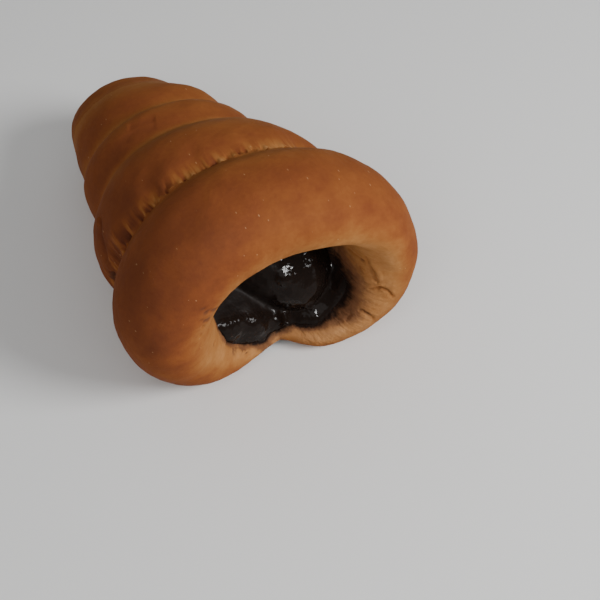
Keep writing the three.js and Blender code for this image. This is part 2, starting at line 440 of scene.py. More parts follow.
def placePoint(graph, given, sizes, along, axisAt, radius, angle):
    # where a point at (radius, angle) round the winding axis lies; angle 0 is the underside
    share = axisAt / sizes["axisLength"]
    height = share * (sizes["axisAtMouth"] - sizes["axisAtTip"]) + sizes["axisAtTip"]
    height = height + (share.clamp() * math.pi).math("SINE") * sizes["axisBow"]
    lean, leanAt, spread = sizes["axisLean"]
    side = bell((axisAt - leanAt) / spread) * lean
    x = side - radius * angle.math("SINE") * given.wideFactor + sizes["side"]
    free = height - radius * angle.math("COSINE")
    soft = given.floorSoftness
    z = (free + (free * free + soft * soft).math("SQRT")) * 0.5 - given.floorSink
    return graph.combine(x * mm, (sizes["tip"] - along) * mm, z.math("MAXIMUM", 0.0) * mm)


def makeGrid(graph, given, spanX, spanY):
    # a unit grid, and its place on it as two running numbers
    inputs = {"Size X": 1.0, "Size Y": 1.0}
    inputs = {**inputs, "Vertices X": given.steps, "Vertices Y": given.sides}
    grid = graph.add("GeometryNodeMeshGrid", None, inputs)
    x, y, _ = graph.split(position(graph))
    return grid, (x + 0.5) * spanX, (y + 0.5) * spanY


def closeUp(graph, geometry, place):
    # moves the grid's points to their places and merges those that meet
    inputs = {"Geometry": moved(graph, geometry, Position=place), "Distance": 0.01 * mm}
    return graph.add("GeometryNodeMergeByDistance", None, inputs)


def flattened(wave, power):
    # a sine or cosine pressed toward a rounded square
    return wave.math("SIGN") * (wave.math("ABSOLUTE") ** power)


def woundBand(graph, given, sizes):
    turns = given.turns
    grid, turn, section = makeGrid(graph, given, turns, 2 * math.pi)
    up, ahead = section.math("SINE"), section.math("COSINE")
    grid = store(graph, grid, turn=turn, out=up, across=ahead)

    aside = (turn + 0.5).math("FRACT") - 0.5  # how far round from the underside
    fromUnder = aside.math("ABSOLUTE")
    onLeft = aside.math("GREATER_THAN", 0.0)
    sagDepth = graph.mixNumber(onLeft, given.sagRight, given.sagLeft)
    atRing = ((turn - sizes["ringFrom"]) / sizes["ringFade"]).clamp()
    notch = bell(fromUnder / given.notchSpread) * atRing
    fromSag = (fromUnder * 360.0 - given.sagAngle) / given.sagSpread
    sag = bell(fromSag.math("ABSOLUTE")) * atRing
    outerEnd = ((turns - turn) / given.endTaper).clamp().math("SQRT")
    innerEnd = (turn / given.startTaper).clamp().math("SQRT")
    closed = (turn.math("MINIMUM", turns - turn) * 10000.0).clamp()  # 0 at both ends alone

    centre, middle, wide, thick = (
        tableCurve(graph, turn, sizes["stations"], column) for column in (1, 2, 3, 4)
    )
    thick = thick * (1 - notch * sizes["notchThin"]) * rising(innerEnd, sizes["startThick"])
    wide = wide * rising(outerEnd, sizes["endWide"]) * rising(innerEnd, sizes["startWide"])
    middle = middle - given.notchDepth * notch - thick
    atMouth = turn.math("GREATER_THAN", sizes["notchBackFrom"])
    centre = centre - given.notchBack * notch * atMouth
    flatness = graph.mixNumber((turn - sizes["flatUntil"]).clamp(), given.flatness, 1.0)
    out, across = flattened(up, flatness), flattened(ahead, flatness)
    bulge = thick * out + sagDepth * sag * (out.math("MAXIMUM", 0.0) ** sizes["sagPower"])
    radius = middle + closed * bulge
    along = centre + closed * wide * across
    place = placePoint(graph, given, sizes, along, centre, radius, turn * (2 * math.pi))
    return closeUp(graph, grid, place)


def rising(share, least):
    # from least to 1
    return share * (1 - least) + least


def innerLayer(graph, given, sizes):
    first, last = sizes["innerFrom"], sizes["innerTo"]
    grid, along, angle = makeGrid(graph, given, last - first, 2 * math.pi)
    along = along + first
    closed = ((along - first).math("MINIMUM", last - along) * 1000.0).clamp()
    nose = ((sizes["noseFrom"] - along) / sizes["noseLength"]).math("MAXIMUM", 0.0)
    rounding = (1 - nose ** sizes["nosePower"]) ** (1 / sizes["nosePower"])
    radius = (along * sizes["innerGrowth"] + sizes["innerAtTip"]) * rounding * closed
    return closeUp(graph, grid, placePoint(graph, given, sizes, along, along, radius, angle))


def windDough(sizes):
    shared = pick(sizes, "wideFactor floorSoftness floorSink")
    shared = {**shared, "material": crust, "sides": sizes["sides"] + 1}
    keys = "turns notchDepth notchSpread notchBack sagLeft sagRight sagAngle sagSpread "
    bandInputs = pick(sizes, keys + "flatness endTaper startTaper")
    steps = int(sizes["turns"] * sizes["stepsPerTurn"]) + 1
    roll = newPiece("roll")
    growTree(roll, "wound dough", woundBand, sizes, {**shared, **bandInputs, "steps": steps})
    inner = newPiece("inner")
    growTree(inner, "inner layer", innerLayer, sizes, {**shared, "steps": sizes["innerRings"]})
    return roll, inner


creamSizes = {
    "mouthAlong": 97.0,
    "mouth": (5.0, 27.5, 20.5, 19.5),  # side, height, half width, half height
    "hollowAlong": 21.0,
    "hollowTip": (1.5, 17.0, 4.0, 4.0),
    "hollowSwell": 0.9,  # below 1 the hollow widens sooner
    "flare": 3.0,
    "flareFrom": 90.0,
    "flareLength": 20.0,
    "flarePower": 1.5,
    "flareHigh": 0.8,
    "flareLean": (0.6, 0.4),  # the right of the mouth is folded open the most
    "gap": 0.3,
    "start": 25.0,
    "front": 82.0,
    "voxel": 0.55,
    "smoothing": 4,
    "wave": 1.2,  # how far, in millimetres
    "waveScale": 170.0,  # how closely packed
    "blister": 0.5,
    "blisterScale": 420.0,
    "blisterHigh": 0.45,
    "blisterSoftness": 0.6,
    "blisterPatches": (90.0, (0.45, 0.7)),
    "spread": 6.0,  # how far the cream reaches into the bread behind the mouth
    "spreadFrom": 68.0,
    "spreadLength": 12.0,
    # the ledge along the lower rim: side, height of its top, rise
    "ledge": [
        (-20.0, 28.0, 12.0),
        (-12.0, 24.0, 15.5),
        (-4.0, 20.0, 15.0),
        (1.0, 16.5, 12.0),
        (6.0, 12.5, 12.5),
        (14.0, 14.0, 17.5),
        (25.0, 24.0, 17.0),
    ],
    "ledgeEdge": 1.3,
    "pit": (4.0, -2.0, 2.5),  # how much deeper the left lies, up to where, how soft its edge
    # side, height, half width, half height, tilt in degrees, rise
    "lobes": [
        (13.5, 19.5, 11.5, 12.5, 0.0, 14.5),
        (8.0, 27.0, 4.5, 4.5, -30.0, 10.5),
        (12.5, 15.5, 3.0, 2.0, 25.0, 15.5),
        (5.0, 11.5, 3.0, 2.5, 0.0, 14.5),
    ],
    "lobeEdge": 1.05,  # above 1 gives a lobe a flatter crown and a steeper edge
    "lobeBlend": 1.1,  # how sharply one lobe gives way to the next
    "lobeFall": 0.7,
}


def hollowRing(sizes, along, inset=0.0, scale=1.0, sides=96):
    reach = (along - sizes["hollowAlong"]) / (sizes["mouthAlong"] - sizes["hollowAlong"])
    inner = min(1.0, max(0.0, reach))
    swollen = inner ** sizes["hollowSwell"]
    shares = (inner, inner, swollen, swollen)
    side, height, halfWide, halfHigh = (
        a + (b - a) * share for a, b, share in zip(sizes["hollowTip"], sizes["mouth"], shares)
    )
    past = max(0.0, along - sizes["flareFrom"]) / sizes["flareLength"]
    opened = sizes["flare"] * past ** sizes["flarePower"]
    angle = np.linspace(0, 2 * math.pi, sides, endpoint=False)
    level, towardRight = sizes["flareLean"]
    lean = level + towardRight * np.cos(angle)
    x = side + (halfWide + opened * lean - inset) * scale * np.cos(angle)
    z = height + (halfHigh + sizes["flareHigh"] * opened * lean - inset) * scale * np.sin(angle)
    return np.stack([x, np.full(sides, float(along)), z], -1)


def loft(name, rings, sizes):
    # closed body from rings in winding millimetres
    sides = len(rings[0])
    points = [point for ring in rings for point in ring]
    faces = []
    for i in range(len(rings) - 1):
        for j in range(sides):
            a, b = i * sides + j, i * sides + (j + 1) % sides
            faces.append((a, b, b + sides, a + sides))
    for row, order in ((0, -1), (len(rings) - 1, 1)):
        points.append(np.mean(rings[row], 0))
        for j in range(sides):
            edge = (row * sides + j, row * sides + (j + 1) % sides)[::order]
            faces.append((*edge, len(points) - 1))
    x, along, z = np.array(points).T
    return newPiece(name, np.stack([x + sizes["side"], sizes["tip"] - along, z], -1) * mm, faces)


def hollowBody(sizes, winding):
    # past the mouth it goes on, so that it cuts through
    back, mouth = sizes["hollowAlong"], sizes["mouthAlong"]
    steps, beyond, spacing = 12, 8, 3
    rings = [hollowRing(sizes, back - 2, 0, 0.5)]
    rings += [hollowRing(sizes, back + (mouth - back) * i / steps) for i in range(steps + 1)]
    rings += [hollowRing(sizes, mouth + i * spacing) for i in range(1, beyond + 1)]
    return loft("hollow", rings, winding)


def creamFront(sizes, x, z):
    # the ledge, with a rounded edge, then the lobes over it
    rows = sizes["ledge"]
    onLedge = np.clip(x, rows[0][0], rows[-1][0])
    top, rise = (np.vectorize(smoothTable(rows, column))(onLedge) for column in (1, 2))
    front = rise / (1 + np.exp(np.clip((z - top) / sizes["ledgeEdge"], -30, 30)))
    blend = sizes["lobeBlend"]
    for side, height, wide, high, tilt, rise in sizes["lobes"]:
        c, s = math.cos(math.radians(tilt)), math.sin(math.radians(tilt))
        away = (((x - side) * c + (z - height) * s) / wide) ** 2
        away = away + (((z - height) * c - (x - side) * s) / high) ** 2
        lobe = rise * np.exp(-sizes["lobeFall"] * away ** sizes["lobeEdge"])
        front = np.log(np.exp(blend * front) + np.exp(blend * lobe) - 1) / blend
    deeper, upTo, edge = sizes["pit"]
    return sizes["front"] + front - deeper / (1 + np.exp((x - upTo) / edge))


def creamBody(sizes, winding):
    def ringAt(along, scale=1.0):
        reach = (along - sizes["spreadFrom"]) / sizes["spreadLength"]
        spread = sizes["spread"] * min(1.0, max(0.0, reach))
        return hollowRing(sizes, along, sizes["gap"] - spread, scale, 160)

    start, end = sizes["start"], sizes["front"] - 2
    backSteps, frontRings = 14, 60
    rings = [ringAt(start - 1.5, 0.5)]
    rings += [ringAt(start + (end - start) * i / backSteps) for i in range(backSteps + 1)]
    for i in range(frontRings):
        # ever smaller rings, the last one almost a point
        ring = ringAt(sizes["mouthAlong"], math.cos(0.5 * math.pi * i / (frontRings + 0.4)))
        ring[:, 1] = creamFront(sizes, ring[:, 0], ring[:, 2])
        rings.append(ring)
    return loft("creamFilling", rings, winding)


def newMaterial(name):
    material = bpy.data.materials.new(name)
    material.use_nodes = True
    graph = Graph(material.node_tree)
    shader = next(node for node in material.node_tree.nodes if node.type == "BSDF_PRINCIPLED")
    return material, graph, shader


def dressShader(graph, shader, look, colour, roughness, height):
    strength, distance = look["bump"]
    inputs = {"Strength": strength, "Distance": distance * mm, "Height": height}
    values = {"Base Color": colour, "Roughness": roughness}
    values["Specular IOR Level"] = look["specular"]
    values["Normal"] = graph.add("ShaderNodeBump", None, inputs)
    for name, value in values.items():
        graph.plug(shader.inputs[name], value)


# Pairs are where something fades in: in millimetres for a place, in the winding's numbers
# for a turn or a section. Noises are scale, detail and roughness.
crustLook = {
    # the dough's own colour as it browns, from dark to pale
    "shades": [
        (0.0, (0.076, 0.024, 0.012)),
        (0.12, (0.114, 0.034, 0.017)),
        (0.26, (0.163, 0.048, 0.020)),
        (0.40, (0.217, 0.064, 0.022)),
        (0.50, (0.258, 0.084, 0.025)),
        (0.62, (0.307, 0.117, 0.034)),
        (0.74, (0.368, 0.159, 0.050)),
        (0.88, (0.458, 0.218, 0.080)),
        (1.0, (0.560, 0.280, 0.115)),
    ],
    "paleness": 0.262,  # of the crown of a turn
    "side": 0.085,  # how much paler the sides of a turn are
    "sideMost": 1.4,
    "low": 0.12,
    "lowHeight": (18.0, 46.0),
    # painted shade: the left of the bread is painted darker and the right paler, for light that
    # falls from the right
    "right": 0.17,
    "leftShadeSide": (-40.0, 12.0),
    "rightEdge": 0.04,
    "rightEdgeSide": (14.0, 30.0),
    "rightEdgeHeight": (22.0, 50.0),
    "behind": 0.15,
    "flank": 0.42,
    "flankMost": 0.6,
    "inside": 0.20,
    "insideOut": (-0.55, 0.35),
    "crease": 0.22,
    "creaseBelow": (0.0, 0.9),
    # painted shade: how much darker the pressed folds and pinches are painted
    "pressed": 0.2,
    "ridge": 0.1,
    "ring": (3.95, 4.15),  # turns
    "mottle": (0.22, (45.0, 3.0, 0.55)),
    "streak": (0.18, (26.0, 1.5), (1.0, 4.0, 0.6)),  # share, packing along and across, noise
    "strands": (0.5, (95.0, 1.2), (1.0, 2.0, 0.6), (0.38, 0.64)),
    "streakOnSide": 2.0,  # how much stronger on the side toward the mouth
    "strandMiddle": 0.45,
    "strandAcross": (0.02, 0.38),
    "strandOut": (0.2, 0.7),
    "strandTurn": (2.8, 3.2),
    "grain": (0.12, (800.0, 2.0, 0.6)),
    # relief: height and noise
    "crepe": (1.6, (3.0, 3.0, 0.6)),
    "crepeOut": (-0.35, 0.25),
    "sideCrepe": (2.0, (2.2, 3.0, 0.6)),
    "sideCrepeMost": 0.5,
    "veilGrain": (4.0, (260.0, 3.0, 0.6)),
    "fineGrain": (0.5, (1500.0, 3.0, 0.6)),
    "pimples": (0.8, (420.0, 2.0, 0.5)),
    "strandHeight": 1.5,
    "rayHeight": 6.0,
    "roughness": 0.6,
    "soakedRoughness": 0.4,
    "specular": 0.01,
    "bump": (0.45, 0.35),  # strength, millimetres
}
speckLook = {
    "colour": (0.62, 0.40, 0.20),
    "strength": 0.4,
    "stretch": (1.5, 0.55, 1.0),
    "scale": 430.0,
    "patches": ((60.0, 1.0), (0.35, 0.65), 0.2),  # noise, edge, how much fuller they are
    "share": (0.8, 0.86),  # the part of the cells that has none
    "edge": (0.4, 1.0),
    "height": (15.0, 40.0),
    "smallest": 0.07,
}
# painted shade: the bottom of the deep crease behind the ring is painted near black for the shadow
# in the groove
creaseShadeLook = {
    "colour": (0.030, 0.014, 0.010),
    "strength": 0.75,
    "depth": (0.22, 0.55),  # millimetres below the dough around
    "turn": (2.8, 3.1),
}
stainLook = {
    "lip": 2.2,  # millimetres out from the cream
    "wall": 9.5,  # the same on the open right wall
    "wallSide": (8.0, 20.0),
    "wallHeight": (3.0, 14.0),
    "stain": (0.016, 0.010, 0.008),
    "soakedCrumb": (0.110, 0.045, 0.027),
    "veilReach": 22.0,
    "veilSide": (10.0, 20.0),
    "lowVeilSide": (-2.0, 6.0),
    "lowVeilHeight": (10.0, 20.0),
    "veil": 0.28,
    "veilRays": 2.5,
    "rays": ((130.0, 2.0), (1.0, 2.0, 0.5)),
    "ragged": (520.0, 3.0, 0.6),
    "broad": (150.0, 2.0, 0.5),
    "raggedness": (1.8, 2.0, 4.0),  # everywhere, how much more on the wall, the rays' there
    "broken": ((330.0, 2.0), (0.38, 0.62)),
    "crumb": ((0.0, 0.5), 0.75),
    "stained": (0.45, 0.95),
    "wetFrom": (0.5, 1.0),
}


def alongTurns(graph, skin, packing):
    # a place that runs along the windings: how closely packed along them, and across
    along, across = packing
    return graph.combine(skin.turn * along, skin.across * across, skin.out * across)


def readSkin(graph, look, stain):
    # what the crust's looks depend on
    place = graph.add("ShaderNodeTexCoord", None, None, "Object")
    x, _, height = graph.split(place)
    skin = SimpleNamespace(place=place, x=x / mm, height=height / mm)
    numbers = ("turn", "out", "across", "toCream", "creaseNear", "creaseWide", "pressed", "smeared")
    for name in numbers:
        value = graph.add("ShaderNodeAttribute", {"attribute_name": name}, None, "Fac")
        setattr(skin, name, value)
    skin.ring = skin.turn.ramp(*look["ring"])
    skin.rest = 1 - skin.ring
    _, packing, _ = look["streak"]
    skin.wound = alongTurns(graph, skin, packing)
    skin.flank = skin.across.ramp(*look["strandAcross"]) * skin.out.ramp(*look["strandOut"])
    skin.flank = skin.flank * skin.rest * skin.turn.ramp(*look["strandTurn"])
    _, packing, noise, edge = look["strands"]
    skin.strands = graph.noise(alongTurns(graph, skin, packing), *noise).ramp(*edge)
    packing, noise = stain["rays"]
    skin.rays = graph.sway(alongTurns(graph, skin, packing), *noise)
    low = skin.x.ramp(*stain["lowVeilSide"]) * (1 - skin.height.ramp(*stain["lowVeilHeight"]))
    openSide = skin.x.ramp(*stain["veilSide"]).math("MAXIMUM", low)
    skin.veil = (1 - skin.toCream / stain["veilReach"]).clamp() * openSide * skin.ring
    return skin


def browned(graph, look, skin):
    # crowns dark; creases, low sides and the mouth pale; painted shade darkens the left side and
    # the pressed folds
    across, out, height = skin.across, skin.out, skin.height
    pale = (1 - out).clamp(0.0, look["sideMost"]) * look["side"] + look["paleness"]
    pale = pale + (1 - height.ramp(*look["lowHeight"])) * look["low"]
    # painted shade: darker toward the left, paler toward the right
    pale = pale + skin.x.ramp(*look["leftShadeSide"]) * look["right"]
    edge = skin.x.ramp(*look["rightEdgeSide"]) * (1 - height.ramp(*look["rightEdgeHeight"]))
    pale = pale - edge * look["rightEdge"]
    pale = pale + (-across).clamp() * look["behind"]
    pale = pale + across.clamp(0.0, look["flankMost"]) * skin.rest * look["flank"]
    pale = pale + (1 - out.ramp(*look["insideOut"])) * skin.ring * look["inside"]
    pale = pale + skin.creaseWide.ramp(*look["creaseBelow"]) * skin.rest * look["crease"]

    for key in ("mottle", "grain"):
        strength, noise = look[key]
        pale = pale + graph.sway(skin.place, *noise) * strength
    strength, _, noise = look["streak"]
    onSide = across.clamp() * look["streakOnSide"] + 1
    pale = pale + graph.sway(skin.wound, *noise) * strength * onSide
    pale = pale + (skin.strands - look["strandMiddle"]) * skin.flank * look["strands"][0]
    # painted shade in the pressed folds and pinches; raised ridges paler
    pale = pale - skin.pressed.clamp() * look["pressed"] + (-skin.pressed).clamp() * look["ridge"]
    return graph.add("ShaderNodeValToRGB", {"stops": look["shades"]}, {"Fac": pale.clamp()})


def specked(graph, look, skin, colour):
    # pale specks of dry flour and burst bubbles, one in some of the cells
    place = graph.vector("MULTIPLY", skin.place, look["stretch"])
    scattered = {"Vector": place, "Scale": look["scale"]}
    away = graph.add("ShaderNodeTexVoronoi", {"feature": "F1"}, scattered, "Distance")
    cell = graph.add("ShaderNodeTexVoronoi", {"feature": "F1"}, scattered, "Color")
    lots = graph.add("ShaderNodeSeparateColor", None, {0: cell})
    lot, otherLot, _ = graph.outputs(lots)
    noise, edge, fuller = look["patches"]
    patches = graph.noise(skin.place, *noise).ramp(*edge) * fuller
    chosen = (lot + patches).ramp(*look["share"]) * skin.height.ramp(*look["height"])
    size = otherLot * look["smallest"] + look["smallest"]
    speck = (1 - (away / size).ramp(*look["edge"])) * chosen
    return graph.paint(speck * look["strength"], colour, look["colour"])


def soakedAmount(graph, look, skin):
    # 1 at the cream, 0 where the crumb is clean; it reaches furthest on the open right wall
    wallSide = skin.x.ramp(*look["wallSide"]) * skin.height.ramp(*look["wallHeight"])
    reach = wallSide * (look["wall"] - look["lip"]) + look["lip"]
    ragged, broad = (graph.sway(skin.place, *look[key]) for key in ("ragged", "broad"))
    everywhere, onWall, ofRays = look["raggedness"]
    ragged = (ragged + broad) * (wallSide * onWall + everywhere)
    ragged = ragged + skin.rays * wallSide * ofRays
    soaked = 1 - ((skin.toCream + ragged) / reach).clamp()
    noise, edge = look["broken"]
    broken = graph.noise(skin.place, *noise).ramp(*edge)
    # the folds' darkening: cream stain, and in some cracks and the left slot painted shadow
    return soaked.math("MAXIMUM", skin.smeared * broken)


def crustRelief(graph, look, skin):
    # grain, pimples, and fine creases along the windings
    inside = (1 - skin.out.ramp(*look["crepeOut"])) * skin.ring
    beside = skin.across.clamp(0.0, look["sideCrepeMost"]) * skin.rest
    crepe = graph.layer(skin.wound, look["crepe"]) * inside
    crepe = crepe + graph.layer(skin.wound, look["sideCrepe"]) * beside
    crepe = crepe + skin.strands * skin.flank * look["strandHeight"]
    veil = graph.layer(skin.place, look["veilGrain"]) + skin.rays * look["rayHeight"]
    grain = graph.layer(skin.place, look["fineGrain"]) + graph.layer(skin.place, look["pimples"])
    return grain + crepe + veil * skin.veil


def crustMaterial(look, specks, creases, stain):
    material, graph, shader = newMaterial("crust")
    skin = readSkin(graph, look, stain)
    colour = specked(graph, specks, skin, browned(graph, look, skin))
    # painted shade: the deep crease is darkened where it lies below the dough around it
    dark = skin.creaseNear.ramp(*creases["depth"]) * skin.turn.ramp(*creases["turn"])
    colour = graph.paint(dark * creases["strength"], colour, creases["colour"])
    soaked = soakedAmount(graph, stain, skin)
    veiled = skin.veil * (skin.rays * stain["veilRays"] + 1).clamp() * stain["veil"]
    colour = graph.paint(veiled, colour, stain["soakedCrumb"])
    edge, strength = stain["crumb"]
    colour = graph.paint(soaked.ramp(*edge) * strength, colour, stain["soakedCrumb"])
    colour = graph.paint(soaked.ramp(*stain["stained"]), colour, stain["stain"])
    wet = soaked.ramp(*stain["wetFrom"])
    roughness = graph.mixNumber(wet, look["roughness"], look["soakedRoughness"])
    dressShader(graph, shader, look, colour, roughness, crustRelief(graph, look, skin))
    return material


creamLook = {
    "colour": (0.011, 0.0070, 0.0054, 1.0),
    "roughness": 0.07,
    "dullRoughness": 0.6,  # of the skin that lies back in the hollow
    "dullFrom": (-41.5, -37.5),
    "dullSide": (2.0, 7.0),
    "specular": 0.08,
    "ripple": (0.35, (210.0, 1.0, 0.5)),
    "grain": (0.32, (900.0, 1.0, 0.5)),
    "grainPatches": ((160.0, 1.0), (0.3, 0.5)),
    "bump": (1.0, 0.5),
}


def creamMaterial(look):
    material, graph, shader = newMaterial("cream")
    place = graph.add("ShaderNodeTexCoord", None, None, "Object")
    x, y, _ = graph.split(place)
    recess = (y / mm).ramp(*look["dullFrom"]) * (1 - (x / mm).ramp(*look["dullSide"]))
    roughness = graph.mixNumber(recess, look["roughness"], look["dullRoughness"])
    noise, edge = look["grainPatches"]
    grain = graph.layer(place, look["grain"]) * graph.noise(place, *noise).ramp(*edge)
    height = graph.layer(place, look["ripple"]) + grain
    dressShader(graph, shader, look, look["colour"], roughness, height)
    return material


crust = crustMaterial(crustLook, speckLook, creaseShadeLook, stainLook)
cream = creamMaterial(creamLook)
print("materials made")


# Creases are counted from the tip: 1 lies behind the first turn, 4 behind the ring at the mouth.
breadSizes = {
    "voxel": 0.95,
    "smoothing": 2,
    "softUntil": 1.2,  # the creases before this one flow together, as they do in the oven
    "firmFrom": 1.8,
    "alsoSoftFrom": (2.55, 2.95),
    "alsoSoftTo": (3.3, 3.6),
    "softEdge": 10,
    "softRounds": 120,
    "firmRounds": 8,
    # where the skin needs a finer mesh: along the folds, at the cream, beside the ring
    "lineReach": 2.2,
    "creamReach": 13.0,
    "creamTurn": (3.9, 4.1),
    "sideAcross": (0.15, 0.16),
    "sideOut": (0.0, 0.1),
    "sideFrom": (3.0, 3.1),
    "sideTo": (3.75, 3.85),
    "leastFine": 0.025,
    "fineRounds": 3,
    # unevenness: how far, in millimetres, and how closely packed
    "swell": 2.2,
    "swellScale": 38.0,
    "dimple": 0.7,
    "dimpleScale": 130.0,
    # the crease behind the ring is cut deeper, straight towards the axis
    "groove": 2.8,
    "grooveScale": 120.0,
    "grooveBelow": (0.1, 0.45),
    "grooveTurn": (2.9, 3.3),
    "grooveBroken": (0.3, 0.6),
    "grooveRounds": 3,
    "axisHeight": 25.5,
    "axisRise": -0.16,
    # pleats where the last turn but one dives under the ring
    "pleat": 5.5,
    "pleatScale": 30.0,
    "pleatAcross": (-0.3, 0.25),
    "pleatTurn": (2.7, 3.1),
    "pleatUntil": (4.1, 0.3),  # turn, and over how much of one they fade
    "strand": 2.4,
    "strandBelow": (0.0, 0.5),
    "pinch": 1.3,  # narrow pleats in the crease itself
    "pinchWidth": 0.05,
    "pinchAcross": (0.1, 0.35),
    "pinchBelow": (0.0, 0.35),
    "pinchLeast": 0.3,
    # how closely each is packed along, across and out, then its noise
    "pleatNoise": ((1.0, 0.6, 0.5), (1.0, 2.0, 0.45)),
    "strandNoise": ((3.2, 1.5, 1.5), (1.0, 2.0, 0.5)),
    "pinchNoise": ((1.7, 0.8, 0.8), (1.0, 1.0, 0.5)),
    "shake": 1.1,  # how far the listed folds are made to wander
    "shakeScale": 420.0,
    "smearWider": 1.8,
    "nearRounds": 14,
    "wideRounds": 90,
}


def settledCreases(graph, given, sizes):
    # carries the winding's numbers over to the joined skin, and softens the creases near the tip
    nearest = {"Mesh": shapeOf(graph, given.roll), "Sample Position": position(graph)}
    numbers = {}
    for name in ("turn", "out", "across"):
        inputs = {**nearest, "Value": stored(graph, name)[0]}
        kind = "GeometryNodeSampleNearestSurface"
        numbers[name] = graph.add(kind, {"data_type": "FLOAT"}, inputs)
    geometry = store(graph, given.geometry, **numbers)
    turn, out, across = stored(graph, *numbers)
    crease = turn + across * 0.5
    soft = 1 - crease.ramp(given.softUntil, given.firmFrom)
    alsoSoft = crease.ramp(*sizes["alsoSoftFrom"]) * (1 - crease.ramp(*sizes["alsoSoftTo"]))
    soft = blurred(graph, soft.math("MAXIMUM", alsoSoft), sizes["softEdge"])
    here = position(graph)
    loose = blurred(graph, here, given.softRounds, "FLOAT_VECTOR")
    firm = blurred(graph, here, given.firmRounds, "FLOAT_VECTOR")
    place = graph.add("ShaderNodeMix", {"data_type": "VECTOR"}, {0: soft, 4: firm, 5: loose}, 1)
    geometry = moved(graph, geometry, Position=place)

    toCream = distanceTo(graph, given.cream, "FACES")
    toLine = distanceTo(graph, given.lines, "POINTS")
    beside = across.ramp(*sizes["sideAcross"]) * out.ramp(*sizes["sideOut"])
    beside = beside * turn.ramp(*sizes["sideFrom"]) * (1 - turn.ramp(*sizes["sideTo"]))
    fine = (1 - toCream / given.creamReach).clamp() * turn.ramp(*sizes["creamTurn"])
    fine = fine + (1 - toLine / given.lineReach).clamp() + beside
    return store(graph, geometry, fine=fine)


def refine(piece, label):
    # halves the edges where the named attribute is above zero
    work = bmesh.new()
    work.from_mesh(piece.data)
    layer = work.verts.layers.float[label]
    edges = [edge for edge in work.edges if min(corner[layer] for corner in edge.verts) > 0]
    bmesh.ops.subdivide_edges(work, edges=edges, cuts=1, use_grid_fill=True)
    work.to_mesh(piece.data)
    work.free()


def nearestFold(graph, cloud, here):
    # how far the nearest point of the folds is, and that point's width, depth and darkening, which
    # is cream stain and in some cracks painted shadow
    inputs = {"Geometry": cloud, "Sample Position": here}
    index = graph.add("GeometryNodeSampleNearest", {"domain": "POINT"}, inputs)

    def read(value, kind="FLOAT"):
        inputs = {"Geometry": cloud, "Value": value, "Index": index}
        return graph.add("GeometryNodeSampleIndex", {"data_type": kind, "domain": "POINT"}, inputs)

    spot = read(position(graph), "FLOAT_VECTOR")
    numbers = [read(number) for number in stored(graph, "width", "depth", "smear")]
    return graph.vector("DISTANCE", here, spot, output="Value"), *numbers


def foldMarks(graph, given, sizes, here):
    # how deep the listed folds press the skin, and how much cream stain and painted shadow they
    # hold
    shake = graph.noise(here, sizes["shakeScale"], 1.0, 0.5, "Color")
    shake = graph.scaled(graph.vector("SUBTRACT", shake, (0.5, 0.5, 0.5)), sizes["shake"] * mm)
    spot = graph.vector("ADD", here, shake)
    away, width, depth, smear = nearestFold(graph, shapeOf(graph, given.lines), spot)
    return bell(away / width) * depth, bell(away / width / sizes["smearWider"]) * smear


def pleats(graph, given, sizes, turn, out, across, creaseWide):
    # soft pleats with strands between them, and narrow pinches in the crease itself
    until, fade = sizes["pleatUntil"]
    flank = across.ramp(*sizes["pleatAcross"]) * (out + 0.3).clamp()
    flank = flank * turn.ramp(*sizes["pleatTurn"]) * (until - turn).clamp(0.0, fade) / fade
    packed = turn * given.pleatScale

    def wound(key):
        (finer, byAcross, byOut), noise = sizes[key]
        place = graph.combine(packed * finer, across * byAcross, out * byOut)
        return graph.sway(place, *noise)

    pleat = wound("pleatNoise") * given.pleat * flank
    strand = wound("strandNoise") * given.strand * flank
    pinch = 1 - (wound("pinchNoise").math("ABSOLUTE") / sizes["pinchWidth"]).clamp()
    pinch = pinch * flank * across.ramp(*sizes["pinchAcross"])
    inCrease = rising(creaseWide.ramp(*sizes["pinchBelow"]), sizes["pinchLeast"])
    pleat = pleat + strand * creaseWide.ramp(*sizes["strandBelow"])
    return pleat, pinch * inCrease * given.pinch


def below(graph, here, facing, rounds):
    # how far a point lies below the dough around it, in millimetres
    toAround = graph.vector("SUBTRACT", blurred(graph, here, rounds, "FLOAT_VECTOR"), here)
    return graph.vector("DOT_PRODUCT", toAround, facing, output="Value") / mm


def towardAxis(graph, given, here):
    x, y, z = graph.split(here)
    height = given.axisHeight + y * given.axisRise
    return graph.vector("NORMALIZE", graph.combine(given.axisSide - x, 0.0, height - z))


